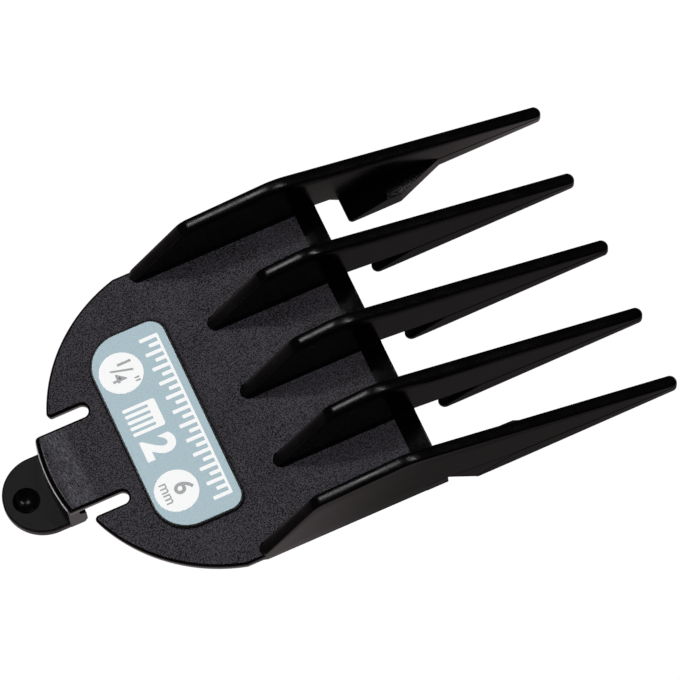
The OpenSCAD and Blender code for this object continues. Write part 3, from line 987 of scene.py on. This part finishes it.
# Floor: a white light table. What the comb mirrors of it carries a painted shadow of the comb:
# dim beneath the comb and bright beyond, an oval falloff round shadeMiddle.
def buildFloor():
    half = studio["floorSize"] / 2
    z = cadBox[0].z - studio["floorGap"] * mm
    mesh = bpy.data.meshes.new("floor")
    mesh.from_pydata([(-half, -half, z), (half, -half, z), (half, half, z), (-half, half, z)],
                     [], [(0, 1, 2, 3)])
    floor = bpy.data.objects.new("floor", mesh)
    bpy.context.scene.collection.objects.link(floor)
    material = bpy.data.materials.new("lightTableAcrylic")
    material.use_nodes = True
    tree = material.node_tree
    shader = tree.nodes["Principled BSDF"]
    shader.inputs["Base Color"].default_value = (0, 0, 0, 1)
    shader.inputs["Roughness"].default_value = 1
    shader.inputs["Specular IOR Level"].default_value = 0
    shader.inputs["Emission Color"].default_value = (1, 1, 1, 1)
    place = addNode(tree, "ShaderNodeTexCoord")
    middle, reach = studio["shadeMiddle"], studio["shadeReach"]
    oval = addNode(tree, "ShaderNodeMapping",
                   {"vector_type": "TEXTURE", "Location": (middle[0] * mm, middle[1] * mm, z),
                    "Scale": (reach[0] * mm, reach[1] * mm, 1)}, {"Vector": (place, "Object")})
    away = addNode(tree, "ShaderNodeVectorMath", {"operation": "LENGTH"}, {0: (oval, 0)})
    # painted shadow: the glow the comb mirrors falls from openGlow to shadeGlow towards shadeMiddle
    glow = addNode(tree, "ShaderNodeMapRange",
                   {"From Min": studio["shadeRange"][0], "From Max": studio["shadeRange"][1],
                    "To Min": studio["shadeGlow"], "To Max": studio["openGlow"],
                    "interpolation_type": "SMOOTHSTEP"},
                   {"Value": (away, "Value")})
    seen = addNode(tree, "ShaderNodeLightPath")
    strength = addNode(tree, "ShaderNodeMix", {"data_type": "FLOAT", 3: studio["floorWhite"]},
                       {0: (seen, "Is Camera Ray"), 2: (glow, 0)})
    tree.links.new(strength.outputs[0], shader.inputs["Emission Strength"])
    tint = mixColours(tree, seen, "Is Camera Ray", studio["mirrored"], "#ffffff")
    tree.links.new(tint.outputs[2], shader.inputs["Emission Color"])
    # clear from below, so that the underside can be looked at
    clear = addNode(tree, "ShaderNodeBsdfTransparent")
    facing = addNode(tree, "ShaderNodeNewGeometry")
    sides = addNode(tree, "ShaderNodeMixShader", {},
                    {0: (facing, "Backfacing"), 1: (shader, 0), 2: (clear, 0)})
    tree.links.new(sides.outputs[0], tree.nodes["Material Output"].inputs["Surface"])
    mesh.materials.append(material)


softboxes = {
    "rearFill": {"way": (-0.62, -0.3, 0.73), "aim": (0, 0), "distance": 1.2,
                 "size": (0.75, 0.75), "power": 11.6, "mirrored": False},
    "backKey": {"way": (-0.15, 0.41, 0.9), "aim": (8, 0), "distance": 1.0,
                "size": (0.13, 0.09), "power": 2.7, "mirrored": False},
    "topStrip": {"way": (-0.08, 0.4, 0.913), "aim": (8, 0), "distance": 1.0,
                 "size": (0.2, 0.12), "power": 1.0, "mirrored": True},
    "frontGlint": {"way": (0.45, 0.25, 0.86), "aim": (-34, 0), "distance": 0.8,
                   "size": (0.2, 0.03), "power": 0.5, "mirrored": True},
}


# Softbox: a rectangle at its distance along its direction from where it aims on the comb. One
# that isn't mirrored lights the plastic evenly and leaves no reflection in its smooth faces.
def softbox(name, way, aim, distance, size, power, mirrored):
    light = bpy.data.lights.new(name, "AREA")
    light.shape = "RECTANGLE"
    light.size, light.size_y = size
    light.energy = power
    lamp = bpy.data.objects.new(name, light)
    bpy.context.scene.collection.objects.link(lamp)
    way = Vector(way).normalized()
    lamp.location = Vector((aim[0] * mm, aim[1] * mm, 0)) + way * distance
    lamp.rotation_euler = (-way).to_track_quat("-Z", "Y").to_euler()
    lamp.visible_glossy = mirrored


# Sky: bright at the horizon and dark overhead, by the height of the direction looked in
def buildLight():
    world = bpy.data.worlds.new("studioSky")
    bpy.context.scene.world = world
    world.use_nodes = True
    tree = world.node_tree
    back = tree.nodes["Background"]
    place = addNode(tree, "ShaderNodeTexCoord")
    axes = addNode(tree, "ShaderNodeSeparateXYZ", {}, {0: (place, "Generated")})
    height = addNode(tree, "ShaderNodeMapRange",
                     {"From Min": 0.0, "From Max": studio["skyFade"], "To Min": studio["skyHorizon"],
                      "To Max": studio["skyTop"], "interpolation_type": "SMOOTHSTEP"},
                     {"Value": (axes, 2)})
    tree.links.new(height.outputs[0], back.inputs["Strength"])
    back.inputs["Color"].default_value = (1, 1, 1, 1)
    for name, box in softboxes.items():
        softbox(name, **box)


# Camera: tilt, roll and yaw of the view, with a long lens about a metre away. The scale is in
# image dots to a millimetre, for an image frameWidth dots wide.
cameraSet = {"tilt": 24.0, "roll": 9.0, "yaw": 15.623, "distance": 979.2, "scale": 7.7534,
             "aim": (14.0, 0.0, 1.4), "right": -3.05, "up": 0.11, "frameWidth": 680,
             "sensor": 36.0}


# Turn by an angle in the plane of two axes
def turn2(angle, axes):
    c, s = math.cos(math.radians(angle)), math.sin(math.radians(angle))
    m = np.eye(3)
    i, j = axes
    m[i, i], m[j, j] = c, c
    m[i, j], m[j, i] = (-s, s) if axes == (0, 1) else (s, -s)
    return m


def buildCamera():
    c = cameraSet
    view = turn2(c["roll"], (0, 1)) @ turn2(c["tilt"], (1, 2)) @ turn2(c["yaw"], (0, 1))
    data = bpy.data.cameras.new("camera")
    data.sensor_width = c["sensor"]
    data.lens = c["scale"] * c["distance"] / c["frameWidth"] * data.sensor_width
    data.clip_start, data.clip_end = 0.05, 20
    camera = bpy.data.objects.new("camera", data)
    bpy.context.scene.collection.objects.link(camera)
    away = np.array([c["right"], c["up"], c["distance"]]) @ view
    spot = (np.array(c["aim"]) + away) * mm
    place = np.eye(4)
    place[:3, :3] = view.T
    place[:3, 3] = spot
    camera.matrix_world = Matrix(place.tolist())
    bpy.context.scene.camera = camera


buildFloor()
buildLight()
buildCamera()
bpy.context.scene.view_settings.view_transform = "Standard"
print("studio set")
